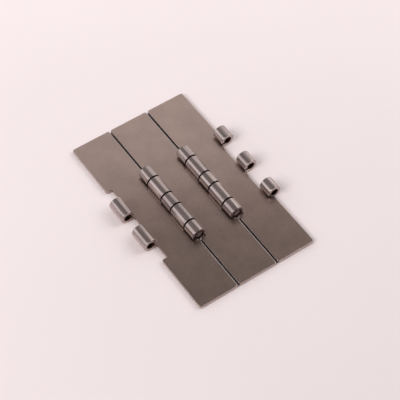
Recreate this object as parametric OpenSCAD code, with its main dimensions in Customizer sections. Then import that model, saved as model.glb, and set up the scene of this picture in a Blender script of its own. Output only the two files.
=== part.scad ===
// Slat top chain: three links of single-hinge flat-top conveyor chain.
// Each link is one stamped steel slat whose edges are rolled into hinge eyes;
// a loose steel pin joins each pair of slats. Units are millimetres.
//
// The chain lies upside down: the smooth carrying faces are on z = 0 and the
// rolled eyes stand up. X is the direction of travel and Y runs across the slat.
// The origin is the centre of the middle slat's carrying face.

/* [Slat] */
// distance between hinge pins along the chain
pitch = 38.1; // [30:0.1:50]
// overall width of a slat across the chain
slat_w = 190.5; // [120:0.5:260]
// thickness of the slat plate
plate_t = 3.1; // [2.4:0.1:3.4]
// gap between the edges of neighbouring slats
edge_gap = 1.5; // [1.2:0.1:2.5]
// radius of the slat's outer corners
corner_r = 2; // [1:0.5:6]
// radius of the wings' corners beside the eyes of the same edge
eye_corner_r = 1; // [0.5:0.25:3]
// radius of the wings' corners beside the neighbour's outer eyes
notch_corner_r = 2; // [0.5:0.25:3]

/* [Hinge] */
// diameter of the hinge pin
pin_d = 6.35; // [5:0.05:7.5]
// radial clearance of the pin in its eyes
pin_clearance = 0.025; // [0.01:0.005:0.1]
// width of the hinge over the three eyes
hinge_w = 79.4; // [70:0.1:100]
// width of each of the three eyes
eye_w = 12.5; // [8:0.5:16]
// side clearance between neighbouring eyes
side_gap = 1.1; // [0.5:0.1:2]
// clearance from an eye to the edge cut back for it
notch_gap = 0.32; // [0.3:0.01:1]
// angle round the eye at which the rolled tab ends, 180 being level with the pin
curl_end = 190; // [180:1:205]

/* [Pin] */
// distance of the pin's ends inside the outer faces of the hinge
pin_recess = 0.4; // [0:0.1:2]
// number of grooves in the pin's gripping end
groove_count = 12; // [6:1:18]
// length of the grooves
groove_len = 9; // [4:0.5:12]

/* [Hidden] */
$fn = 96;

// The bore is tangent to the plate's upper face, so the pin slides in over the plate.
bore_r = pin_d / 2 + pin_clearance;
eye_r = bore_r + plate_t;
pin_z = eye_r;

// Half-sizes of a slat seen from above, from its own centre.
half_pitch = pitch / 2;
half_w = slat_w / 2;
half_plate = half_pitch - edge_gap / 2;

// The plate is cut back at the hinges until its upper corner clears a turning eye.
notch_to_pin = sqrt(pow(eye_r + notch_gap, 2) - pow(bore_r, 2));
half_base = half_pitch - notch_to_pin;

// Three narrow eyes on the leading edge, two wider ones between them on the trailing edge.
half_hinge = hinge_w / 2;
outer_eye_y = half_hinge - eye_w / 2;
wide_eye_in = eye_w / 2 + side_gap;
wide_eye_out = half_hinge - eye_w - side_gap;
wide_eye_w = wide_eye_out - wide_eye_in;
wide_eye_y = (wide_eye_in + wide_eye_out) / 2;

pin_len = hinge_w - 2 * pin_recess;
groove_depth = 0.35;
pin_chamfer = 0.5;

steel = [0.62, 0.59, 0.56];
pin_steel = [0.45, 0.42, 0.41];

// --- Slat ---------------------------------------------------------------

// A rectangle with round corners, from its lower-left to its upper-right corner.
module rounded_rect(low, high, r) {
    w = high[0] - low[0];
    h = high[1] - low[1];
    translate([low[0] + r, low[1]]) square([w - 2 * r, h]);
    translate([low[0], low[1] + r]) square([w, h - 2 * r]);
    for (x = [low[0] + r, high[0] - r])
        for (y = [low[1] + r, high[1] - r])
            translate([x, y]) circle(r = r);
}

// One half of a wing, from the slat's middle strip out to the edge at x = half_plate.
// It runs from y = start, where its corner has radius r, to the slat's end.
module wing(start, r) {
    rounded_rect([-half_base, start], [half_plate, half_w - corner_r], r);
    rounded_rect([-half_base, start + corner_r], [half_plate, half_w], corner_r);
}

// Outline of the flat plate. The middle strip is narrow, to leave room for the hinges,
// and a full-length wing stands at each end of it.
module plate_outline() {
    translate([-half_base, -half_w + corner_r])
        square([2 * half_base, slat_w - 2 * corner_r]);
    for (side = [0, 1]) mirror([0, side]) {
        // leading edge: the wing starts level with the outer eye's face
        wing(half_hinge, eye_corner_r);
        // trailing edge: it also clears the neighbour's outer eye
        mirror([1, 0]) wing(half_hinge + side_gap, notch_corner_r);
    }
}

// Section of an eye on the leading edge, in X and Z from the pin's axis. The tab runs
// in level with the carrying face, rolls up and over, and stops above its own plate.
module eye_section() {
    reach = 2 * eye_r;
    difference() {
        union() {
            circle(r = eye_r);
            translate([-notch_to_pin - 1, -eye_r]) square([notch_to_pin + 1, plate_t]);
        }
        circle(r = bore_r);
        // the slot left between the tab's free end and the plate
        polygon([
            [0, 0],
            [reach * cos(curl_end), reach * sin(curl_end)],
            [-reach, -bore_r],
            [0, -bore_r]
        ]);
    }
}

// One eye of width w on the leading edge, centred on y.
module eye(y, w) {
    translate([half_pitch, y + w / 2, pin_z])
        rotate([90, 0, 0])
            linear_extrude(height = w) eye_section();
}

// A whole slat about its own centre.
module slat() {
    color(steel) {
        linear_extrude(height = plate_t) plate_outline();
        for (y = [-outer_eye_y, 0, outer_eye_y]) eye(y, eye_w);
        for (y = [-wide_eye_y, wide_eye_y]) mirror([1, 0, 0]) eye(y, wide_eye_w);
    }
}

module slat_1() { translate([-pitch, 0, 0]) slat(); }
module slat_2() { slat(); }
module slat_3() { translate([pitch, 0, 0]) slat(); }

// --- Pin ----------------------------------------------------------------

// One V groove along the pin, at the top of its near end.
module pin_groove() {
    r = pin_d / 2;
    rotate([90, 0, 0]) linear_extrude(height = groove_len)
        polygon([[0, r - groove_depth], [0.5, r + 0.2], [-0.5, r + 0.2]]);
}

// A plain pin with both ends chamfered. Grooves at the near end grip the outer eye.
module pin(x) {
    r = pin_d / 2;
    straight = pin_len - 2 * pin_chamfer;
    color(pin_steel) translate([x, 0, pin_z])
        difference() {
            rotate([90, 0, 0]) union() {
                cylinder(r = r, h = straight, center = true);
                for (end = [0, 1]) mirror([0, 0, end])
                    translate([0, 0, straight / 2])
                        cylinder(r1 = r, r2 = r - pin_chamfer, h = pin_chamfer);
            }
            for (i = [0 : groove_count - 1])
                rotate([0, i * 360 / groove_count, 0])
                    translate([0, -pin_len / 2 + groove_len, 0]) pin_groove();
        }
}

module pin_1() { pin(-half_pitch); }
module pin_2() { pin(half_pitch); }

slat_1();
slat_2();
slat_3();
pin_1();
pin_2();
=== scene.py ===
import math

import bmesh
import bpy
from mathutils import Matrix, Vector


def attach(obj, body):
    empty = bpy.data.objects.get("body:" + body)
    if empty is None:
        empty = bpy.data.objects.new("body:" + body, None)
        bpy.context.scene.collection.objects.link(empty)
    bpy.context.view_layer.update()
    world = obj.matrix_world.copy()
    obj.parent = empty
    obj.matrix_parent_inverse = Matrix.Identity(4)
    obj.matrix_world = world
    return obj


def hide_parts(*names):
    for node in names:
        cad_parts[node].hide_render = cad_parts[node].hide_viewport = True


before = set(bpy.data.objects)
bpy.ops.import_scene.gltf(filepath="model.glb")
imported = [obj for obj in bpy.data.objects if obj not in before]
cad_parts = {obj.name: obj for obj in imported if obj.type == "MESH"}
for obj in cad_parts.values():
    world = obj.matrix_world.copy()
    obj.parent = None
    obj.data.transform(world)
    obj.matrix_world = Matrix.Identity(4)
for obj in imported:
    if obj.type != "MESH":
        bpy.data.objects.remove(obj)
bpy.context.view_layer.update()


# The view.
# The chain lies upside down on a table and is seen from above, over the near left
# corner, through a long lens. The camera is turned a little about its own axis.

view_centre = Vector((0.00430, -0.00751, 0))
view_azimuth = math.radians(35.477)
view_height = math.radians(53.832)
view_distance = 1.1834
view_roll = math.radians(0.767)
lens_mm = 128.14

away = Vector(
    (
        -math.sin(view_azimuth) * math.cos(view_height),
        -math.cos(view_azimuth) * math.cos(view_height),
        math.sin(view_height),
    )
)
turn = (-away).to_track_quat("-Z", "Y").to_matrix().to_4x4()
camera = bpy.data.objects.new("camera", bpy.data.cameras.new("camera"))
camera.data.lens = lens_mm
camera.data.sensor_width = 36
camera.matrix_world = (
    Matrix.Translation(view_centre + away * view_distance)
    @ turn
    @ Matrix.Rotation(view_roll, 4, "Z")
)
bpy.context.scene.collection.objects.link(camera)
bpy.context.scene.camera = camera


# Slats.
# Each slat is one blank of cold-rolled steel, punched to shape, with tabs left along both
# edges. The tabs are rolled up and over into eyes and stop short of the plate, so a
# slot stays open along each eye. Punching leaves the leading edges softly rounded.

pitch = 0.0381
slat_w = 0.1905
plate_t = 0.0031
edge_gap = 0.0015
bore_r = 0.0032
eye_r = bore_r + plate_t
pin_z = eye_r
half_hinge = 0.0397
eye_w = 0.0125
side_gap = 0.0011
notch_gap = 0.00032
half_plate = (pitch - edge_gap) / 2
half_base = pitch / 2 - math.sqrt((eye_r + notch_gap) ** 2 - bore_r**2)
wide_in = eye_w / 2 + side_gap
wide_out = half_hinge - eye_w - side_gap
corner_r = 0.002
shoulder = half_plate - 0.0013
relief = 0.0003
curl = math.radians(280)
curl_steps = 70
softest = 0.001
near = 1e-5
sharp_angle = math.radians(40)
seams = [(eye_w + side_gap) / 2, half_hinge - eye_w - side_gap / 2]
slat_bodies = {"slat_1": "link_1", "slat_2": "link_2", "slat_3": "link_3"}


def start_shape(name, place, size):
    """Adds a block of this size at its place and opens it for editing."""
    bpy.ops.object.select_all(action="DESELECT")
    bpy.ops.mesh.primitive_cube_add(size=1, location=place, scale=size)
    bpy.ops.object.transform_apply(location=True, rotation=True, scale=True)
    shape = bpy.context.object
    shape.name = shape.data.name = name
    bpy.ops.object.mode_set(mode="EDIT")
    return shape


def pick(shape, faces=None, edges=None):
    """Selects only the faces or edges that pass a test."""
    bpy.ops.mesh.select_all(action="DESELECT")
    bpy.ops.mesh.select_mode(type="FACE" if faces else "EDGE")
    mesh = bmesh.from_edit_mesh(shape.data)
    mesh.normal_update()
    found = [f for f in mesh.faces if faces(f)] if faces else [e for e in mesh.edges if edges(e)]
    for part in found:
        part.select_set(True)
    mesh.select_flush_mode()
    bmesh.update_edit_mesh(shape.data)


def cut_across(shape, co, normal, faces=lambda f: True):
    """Cuts the faces that pass a test along a plane, keeping both sides."""
    pick(shape, faces=faces)
    bpy.ops.mesh.bisect(plane_co=co, plane_no=normal)


def pull_out(x):
    bpy.ops.mesh.extrude_region_move(TRANSFORM_OT_translate={"value": (x, 0, 0)})


def round_upright_edges(shape, x, y, radius, segments=8):
    """Rounds the plate's upright edges at (x, y) and (x, -y)."""
    pick(
        shape,
        edges=lambda e: all(
            abs(v.co.x - x) < near and abs(abs(v.co.y) - y) < near for v in e.verts
        ),
    )
    bpy.ops.mesh.bevel(offset=radius, segments=segments, affect="EDGES")


def soften(shape, radius, test):
    """Sets how far sharp outer edges that pass a test are rounded, by a rule for each edge."""
    mesh = bmesh.from_edit_mesh(shape.data)
    layers = mesh.edges.layers.float
    weight = layers.get("bevel_weight_edge") or layers.new("bevel_weight_edge")
    for edge in mesh.edges:
        if edge.is_convex and edge.calc_face_angle(0) > sharp_angle and test(edge):
            edge[weight] = radius(edge) / softest
    bmesh.update_edit_mesh(shape.data)


def on_upper_rim(edge):
    return all(abs(v.co.z - plate_t) < near for v in edge.verts)


def heading(edge):
    """How far the wall beside an upper edge faces the leading side, from -1 to 1."""
    wall = min(edge.link_faces, key=lambda f: abs(f.normal.z))
    return wall.normal.x


def along_tab(edge, radius):
    """Whether an edge follows one side of a tab, level and then round the eye."""
    for v in edge.verts:
        x, z = abs(v.co.x) - pitch / 2, v.co.z - pin_z
        level = half_base - pitch / 2 - near < x < near and abs(z + radius) < near
        rolled = abs(math.hypot(x, z) - radius) < near
        if not (level or rolled) or abs(v.co.y) > half_hinge + near:
            return False
    return abs(edge.verts[0].co.y - edge.verts[1].co.y) < near


def at_free_end(edge):
    """Whether an edge borders the face at which a rolled tab ends."""
    reach = curl - math.pi / 2
    for v in edge.verts:
        angle = math.atan2(v.co.z - pin_z, abs(v.co.x) - pitch / 2) % math.tau
        if abs(angle - reach) > 0.002 or v.co.z < plate_t + near:
            return False
    return True


def side_faces(x, low, high):
    """Faces of a long side at this x, whose distance from the middle is in a span."""
    return lambda f: (
        f.normal.x * x > 0.9 * abs(x)
        and abs(f.calc_center_median().x - x) < near
        and low < abs(f.calc_center_median().y) < high
    )


def model_slat():
    slat = start_shape("slat", (0, 0, plate_t / 2), (2 * half_base, slat_w, plate_t))
    wing_start = half_hinge + relief
    cut_across(slat, (0, 0, 0), (1, 0, 0))
    lines = {
        1: [eye_w / 2, half_hinge - eye_w, half_hinge, wing_start],
        -1: [wide_in, wide_out, half_hinge + side_gap],
    }
    for side, places in lines.items():
        for y in places + [-y for y in places]:
            cut_across(
                slat, (0, y, 0), (0, 1, 0), lambda f: f.calc_center_median().x * side > near
            )

    # wings, beside the hinges; the leading ones are joined to the outer tabs at first
    pick(slat, faces=side_faces(half_base, half_hinge - eye_w, 1))
    pull_out(shoulder - half_base)
    pick(slat, faces=side_faces(shoulder, wing_start, 1))
    pull_out(half_plate - shoulder)
    pick(slat, faces=side_faces(-half_base, half_hinge + side_gap, 1))
    pull_out(half_base - half_plate)
    round_upright_edges(slat, half_plate, slat_w / 2, corner_r)
    round_upright_edges(slat, -half_plate, slat_w / 2, corner_r)
    round_upright_edges(slat, half_plate, wing_start, 0.001, 6)
    round_upright_edges(slat, -half_plate, half_hinge + side_gap, corner_r)

    # eyes: a tab is drawn out level, then rolled about the pin's axis
    tabs = [
        (half_base, -1, eye_w / 2),
        (shoulder, half_hinge - eye_w, half_hinge),
        (-half_base, wide_in, wide_out),
    ]
    for x, low, high in tabs:
        direction = math.copysign(1, x)
        pick(slat, faces=side_faces(x, low, high))
        pull_out(direction * pitch / 2 - x)
        bpy.ops.mesh.spin(
            steps=curl_steps,
            angle=curl * direction,
            center=(direction * pitch / 2, 0, pin_z),
            axis=(0, 1, 0),
        )
    bpy.ops.mesh.select_all(action="SELECT")
    bpy.ops.mesh.remove_doubles(threshold=1e-6)
    bpy.ops.mesh.normals_make_consistent(inside=False)
    bpy.ops.mesh.dissolve_limited(angle_limit=math.radians(0.5))

    # edges: tumbled lightly all over, softer towards the leading side and round the eyes
    soften(slat, lambda e: 0.0003, lambda e: True)
    soften(slat, lambda e: 0.0005 + 0.0003 * heading(e), on_upper_rim)
    soften(slat, lambda e: 0.00045, lambda e: along_tab(e, eye_r))
    soften(slat, lambda e: 0.0003, lambda e: along_tab(e, bore_r))
    soften(slat, lambda e: 0.00015, at_free_end)
    bpy.ops.object.mode_set(mode="OBJECT")
    return slat


slat = model_slat()
rounding = slat.modifiers.new("edges", "BEVEL")
rounding.width = softest
rounding.segments = 4
rounding.limit_method = "WEIGHT"
rounding.use_clamp_overlap = False
rounding.material = 1
evening = slat.modifiers.new("shading", "WEIGHTED_NORMAL")
evening.keep_sharp = True


class Signal:
    """A value that changes over a surface. Sums written with it add their nodes."""

    def __init__(self, tree, socket):
        self.tree = tree
        self.socket = socket

    def node(self, kind, settings, inputs, output=0):
        """Adds any node: its settings first, then its sockets' values or signals."""
        node = self.tree.nodes.new("ShaderNode" + kind)
        for name, value in settings.items():
            setattr(node, name, value)
        for name, value in inputs.items():
            if isinstance(value, Signal):
                self.tree.links.new(value.socket, node.inputs[name])
            else:
                node.inputs[name].default_value = value
        return Signal(self.tree, node.outputs[output])

    def math(self, operation, *others):
        return self.node("Math", {"operation": operation}, dict(enumerate((self, *others))))

    def __add__(self, other):
        return self.math("ADD", other)

    def __sub__(self, other):
        return self.math("SUBTRACT", other)

    def __rsub__(self, other):
        return self * -1 + other

    def __mul__(self, other):
        return self.math("MULTIPLY", other)

    __radd__ = __add__
    __rmul__ = __mul__

    def step(self, low, high):
        """0 at the first limit, 1 at the second and smooth between them."""
        return self.node(
            "MapRange",
            {"interpolation_type": "SMOOTHSTEP"},
            {"Value": self, "From Min": low, "From Max": high},
        )

    def grain(self, stretch, scale, detail=2):
        """Noise at a place, drawn out by a factor along each axis."""
        drawn = self.node("VectorMath", {"operation": "MULTIPLY"}, {0: self, 1: stretch})
        return self.node("TexNoise", {}, {"Vector": drawn, "Scale": scale, "Detail": detail})

    def tint(self, low, high):
        """A mix of two colours, by this share of the second."""
        settings = {"data_type": "RGBA", "clamp_factor": True}
        return self.node("Mix", settings, {0: self, 6: low, 7: high}, 2)

    def feed(self, socket):
        self.tree.links.new(self.socket, socket)


def start_material(name):
    """A new material, its main shader and the place on the piece."""
    material = bpy.data.materials.new(name)
    material.use_nodes = True
    tree = material.node_tree
    place = Signal(tree, tree.nodes.new("ShaderNodeTexCoord").outputs["Object"])
    return material, tree.nodes["Principled BSDF"], place


def split_place(place):
    """The x, y and z of a place, each as a signal."""
    return [place.node("SeparateXYZ", {}, {0: place}, axis) for axis in range(3)]


def hinge_place(place):
    """How far a place lies across from the nearest hinge's axis, and from the axis itself."""
    x, _, z = split_place(place)
    across = x.math("FLOORED_MODULO", pitch) - pitch / 2
    up = z - pin_z
    return across, (across * across + up * up).math("SQRT")


def shade(colour, factor):
    """A colour made darker or lighter, as a socket takes it."""
    return [part * factor for part in colour] + [1]


def mix_steel(name, flat_colour, eye_colour, roughness):
    """Oiled cold-rolled steel: cloudy, finely lined and streaked where rolled into eyes, with
    painted shade in hollows.
    """
    steel, shader, place = start_material(name)
    x, y, z = split_place(place)
    across, distance = hinge_place(place)
    side = y.math("ABSOLUTE")
    clouds = place.grain((1, 1, 1), 55, 4).step(0.3, 0.7)
    spots = place.grain((1, 1, 1), 420, 3)
    lines = place.grain((1, 0.02, 1), 1600, 3)
    streaks = place.grain((1, 0.05, 1), 700, 2).step(0.35, 0.65)
    rolled = z.step(plate_t + 0.0004, plate_t + 0.0016)

    # painted shade, with some oil in the bores: in every bore, and at the two pinned hinges also
    # round the pins, at the ends of the barrels, in the seams between the eyes and in the gaps
    # between the plates
    pinned = x.math("ABSOLUTE").step(0.032, 0.028)
    within = side.step(half_hinge + 0.0002, half_hinge)
    bore = distance.step(bore_r + 0.0008, bore_r + 0.0004) * within
    ring = distance.step(bore_r + 0.0018, bore_r + 0.0012) * within
    first, second = ((side - seam_y).math("ABSOLUTE") for seam_y in seams)
    seam = first.math("MINIMUM", second).step(0.0012, 0.0007) * rolled
    rim = side.step(half_hinge - 0.0010, half_hinge - 0.0004) * within * rolled
    sunken = z.step(plate_t - 0.0003, plate_t - 0.0008)
    gap = across.math("ABSOLUTE").step(0.0016, 0.0011) * sunken
    joint = ring.math("MAXIMUM", seam * 0.85)
    joint = joint.math("MAXIMUM", rim * 0.6)
    joint = joint.math("MAXIMUM", gap * 0.85) * pinned
    oil_and_painted_shade = bore.math("MAXIMUM", joint)

    mottle = clouds * 0.5 + spots * 0.3 + lines * 0.2
    flat = mottle.tint(shade(flat_colour, 0.86), shade(flat_colour, 1.14))
    eye = streaks.tint(shade(eye_colour, 0.72), shade(eye_colour, 1.1))
    # painted shade: the hollows, seams and gaps masked above are tinted towards a near-black
    # brown
    oil_and_painted_shade.tint(rolled.tint(flat, eye), oil_and_shade_colour).feed(shader.inputs["Base Color"])
    (1 - rolled * 0.12).feed(shader.inputs["Metallic"])
    (1 - oil_and_painted_shade * 0.7).feed(shader.inputs["Coat Weight"])
    shader.inputs["Coat Roughness"].default_value = 0.13
    rough = roughness + (spots - 0.5) * 0.08 + (lines - 0.5) * 0.10
    rough = rough - rolled * (0.08 + (streaks - 0.5) * 0.10) + oil_and_painted_shade * 0.3
    rough.feed(shader.inputs["Roughness"])
    bump = lines.node("Bump", {}, {"Strength": 0.08, "Distance": 0.00003, "Height": lines})
    bump.feed(shader.inputs["Normal"])
    return steel


# near-black brown, painted into the bores, seams and gaps as their shade, with some oil in the
# bores
oil_and_shade_colour = (0.045, 0.016, 0.008, 1)
flat_steel = mix_steel("slat_steel", (0.415, 0.296, 0.253), (0.438, 0.341, 0.318), 0.30)
edge_steel = mix_steel("slat_edge_steel", (0.48, 0.40, 0.375), (0.46, 0.375, 0.355), 0.26)
slat.data.materials.clear()
slat.data.materials.append(flat_steel)
slat.data.materials.append(edge_steel)
bpy.ops.object.select_all(action="DESELECT")
slat.select_set(True)
bpy.context.view_layer.objects.active = slat
bpy.ops.object.modifier_apply(modifier="edges")
bpy.ops.object.shade_smooth_by_angle(angle=sharp_angle)
bpy.ops.object.modifier_apply(modifier="shading")

for number, (node, body) in enumerate(slat_bodies.items()):
    piece = slat.copy()
    piece.data = slat.data.copy()
    piece.name = piece.data.name = f"{node}_plate"
    piece.data.transform(Matrix.Translation(((number - 1) * pitch, 0, 0)))
    bpy.context.scene.collection.objects.link(piece)
    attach(piece, body)
    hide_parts(node)
bpy.data.objects.remove(slat)


# Pins.
# A pin is a length of drawn rod, darkened by oil, with both ends chamfered. One end has
# grooves rolled along it, and these bite into the last eye so that the pin stays put.

pin_r = 0.003175
pin_len = 0.0786
groove_len = 0.009
groove_count = 12
groove_scale = 0.88
rod_sides = 60
chamfer = 0.0005
rim_w = 0.0007
cropping = 0.00015
pin_bodies = {"pin_1": ("link_1", -pitch / 2), "pin_2": ("link_2", pitch / 2)}

bpy.ops.object.select_all(action="DESELECT")
bpy.ops.mesh.primitive_cylinder_add(
    vertices=rod_sides, radius=pin_r, depth=pin_len, rotation=(math.pi / 2, 0, 0)
)
bpy.ops.object.transform_apply(location=True, rotation=True, scale=True)
pin = bpy.context.object
pin.name = pin.data.name = "pin"
bpy.ops.object.mode_set(mode="EDIT")

# chamfers, then a small step in each end where the rod was cropped
pick(pin, edges=lambda e: all(abs(v.co.y) > pin_len / 2 - near for v in e.verts))
bpy.ops.mesh.bevel(offset=chamfer, segments=2, affect="EDGES")
for end in (-1, 1):
    pick(pin, faces=lambda f: f.normal.y * end > 0.99)
    bpy.ops.mesh.inset(thickness=rim_w)
    bpy.ops.mesh.inset(thickness=cropping)
    bpy.ops.transform.translate(value=(0, -end * cropping, 0))
cut_across(pin, (0, groove_len - pin_len / 2, 0), (0, 1, 0))


def in_groove(edge):
    """Whether an edge runs along the bottom of a groove in the grooved end."""
    for v in edge.verts:
        line = math.atan2(v.co.z, v.co.x) / math.tau * rod_sides
        beside = (line + 0.5) % (rod_sides / groove_count) - 0.5
        if abs(beside) > 0.2 or v.co.y > groove_len - pin_len / 2 + near:
            return False
        if math.hypot(v.co.x, v.co.z) < pin_r - chamfer - rim_w / 2:
            return False
    return abs(edge.verts[0].co.y - edge.verts[1].co.y) > near


pick(pin, edges=in_groove)
bpy.ops.transform.resize(value=(groove_scale, 1, groove_scale), center_override=(0, 0, 0))
bpy.ops.object.mode_set(mode="OBJECT")

rod, shader, place = start_material("pin_steel")
_, y, z = split_place(place)
across, distance = hinge_place(place)
angle = (z - pin_z).math("ARCTAN2", across)
petals = (angle * groove_count).math("COSINE") * 0.5 + 0.5
end = y.math("ABSOLUTE").step(pin_len / 2 - chamfer, pin_len / 2 - 0.0003)
specks = place.grain((1, 1, 1), 900, 3)
drawn = place.grain((1, 0.03, 1), 1500, 2)
side_colour = drawn.tint((0.06, 0.05, 0.05, 1), (0.12, 0.105, 0.10, 1))
ring = distance.step(0.0014, 0.0018)
darkness = specks * 0.5 + ring * petals * 0.5
end_colour = darkness.tint((0.70, 0.62, 0.61, 1), (0.16, 0.13, 0.13, 1))
end.tint(side_colour, end_colour).feed(shader.inputs["Base Color"])
shader.inputs["Metallic"].default_value = 1
(0.42 + (specks - 0.5) * 0.2).feed(shader.inputs["Roughness"])
height = specks * 0.5 + drawn * 0.5
bump = height.node("Bump", {}, {"Strength": 0.4, "Distance": 0.00005, "Height": height})
bump.feed(shader.inputs["Normal"])
pin.data.materials.clear()
pin.data.materials.append(rod)
bpy.ops.object.select_all(action="DESELECT")
pin.select_set(True)
bpy.context.view_layer.objects.active = pin
bpy.ops.object.shade_smooth_by_angle(angle=math.radians(25))

for node, (body, x) in pin_bodies.items():
    piece = pin.copy()
    piece.data = pin.data.copy()
    piece.name = piece.data.name = f"{node}_rod"
    piece.data.transform(Matrix.Translation((x, 0, pin_z)))
    bpy.context.scene.collection.objects.link(piece)
    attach(piece, body)
    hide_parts(node)
bpy.data.objects.remove(pin)


# Table.
# A pale painted board, faintly pink and uneven, on which the chain lies. It is wide enough
# to fill the view, and a hair below the plates, so that the two never share a surface.

table_size = 8
table_gap = 0.0002

bpy.ops.object.select_all(action="DESELECT")
bpy.ops.mesh.primitive_plane_add(size=table_size, location=(0, 0, -table_gap))
table = bpy.context.object
table.name = "table"
paint, shader, place = start_material("table_paint")
unevenness = place.grain((1, 1, 1), 6, 2)
table_colour = unevenness.tint((0.885, 0.775, 0.775, 1), (0.915, 0.805, 0.81, 1))
table_colour.feed(shader.inputs["Base Color"])
shader.inputs["Roughness"].default_value = 0.6
table.data.materials.append(paint)


# Light.
# Soft panels stand to the left and right of the chain and light its rolled eyes, a long
# one behind it shows in the flat plates, and nothing hangs overhead. Two small, bright
# ones cast the shadows.


def add_lamp(name, direction, distance, size, brightness, colour=(1, 1, 1)):
    """A soft panel that faces the part; its brightness is what a mirror would show."""
    lamp = bpy.data.objects.new(name, bpy.data.lights.new(name, "AREA"))
    lamp.data.shape = "RECTANGLE"
    lamp.data.size, lamp.data.size_y = size
    lamp.data.energy = brightness * math.pi * size[0] * size[1]
    lamp.data.color = colour
    direction = Vector(direction).normalized()
    lamp.matrix_world = (
        Matrix.Translation(direction * distance)
        @ (-direction).to_track_quat("-Z", "Y").to_matrix().to_4x4()
    )
    bpy.context.scene.collection.objects.link(lamp)


add_lamp("left_lamp", (-0.85, 0.43, 0.44), 1.5, (2.2, 0.9), 1.02, (0.93, 0.97, 1))
add_lamp("right_lamp", (0.85, -0.10, 0.47), 1.5, (2.0, 0.8), 0.68)
add_lamp("far_panel", (0.15, 0.32, 0.17), 0.45, (1.3, 0.47), 0.61)
add_lamp("left_spot", (-0.72, -0.05, 0.70), 1.5, (0.8, 0.8), 6.0)
add_lamp("right_spot", (0.68, -0.22, 0.72), 1.5, (0.9, 0.9), 2.7)

world = bpy.data.worlds.new("room")
bpy.context.scene.world = world
world.use_nodes = True
background = world.node_tree.nodes["Background"]
background.inputs["Color"].default_value = (0.5, 0.48, 0.48, 1)
background.inputs["Strength"].default_value = 0.4

bpy.context.scene.view_settings.view_transform = "Standard"
